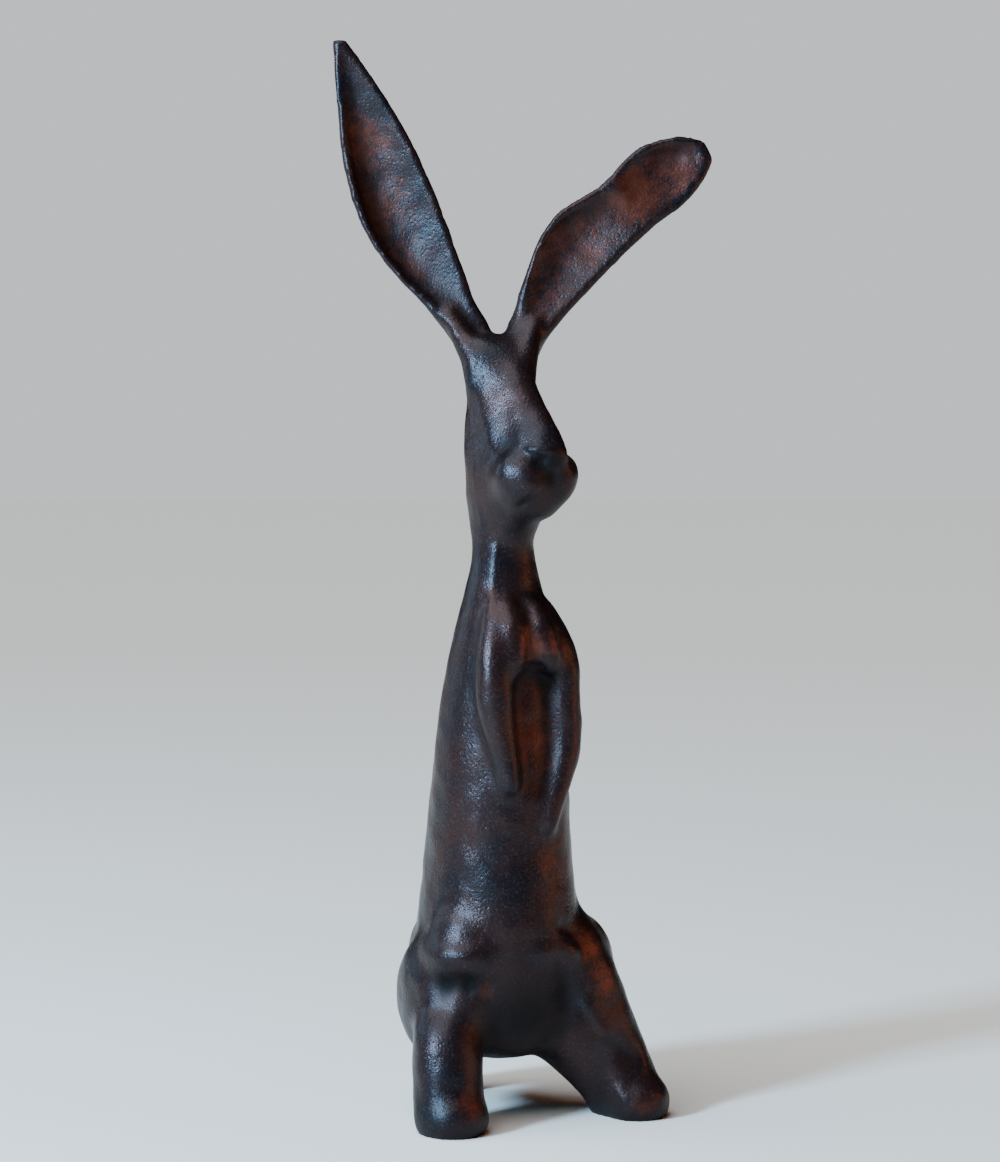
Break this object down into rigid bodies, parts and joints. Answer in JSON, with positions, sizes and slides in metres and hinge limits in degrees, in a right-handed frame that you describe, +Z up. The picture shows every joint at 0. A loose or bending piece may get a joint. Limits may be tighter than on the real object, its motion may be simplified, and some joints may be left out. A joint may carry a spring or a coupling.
{
  "type": "rabbit sculpture",
  "caption": "Upright cast iron hare with long spread ears, standing on two splayed hind feet and a short tail, a garden or mantel ornament",
  "frame": {"origin": "middle of the footprint box, on the ground under the feet", "axes": "+Z up, the figure looks along -Y, its left side is +X"},
  "size_m": [0.1562, 0.1188, 0.5004],
  "materials": {
    "cast_iron_brown": "sand cast, waxed dark brown with faint rust"
  },
  "bodies": {
    "root": {"hare_casting": "cast_iron_brown"}
  },
  "joints": []
}
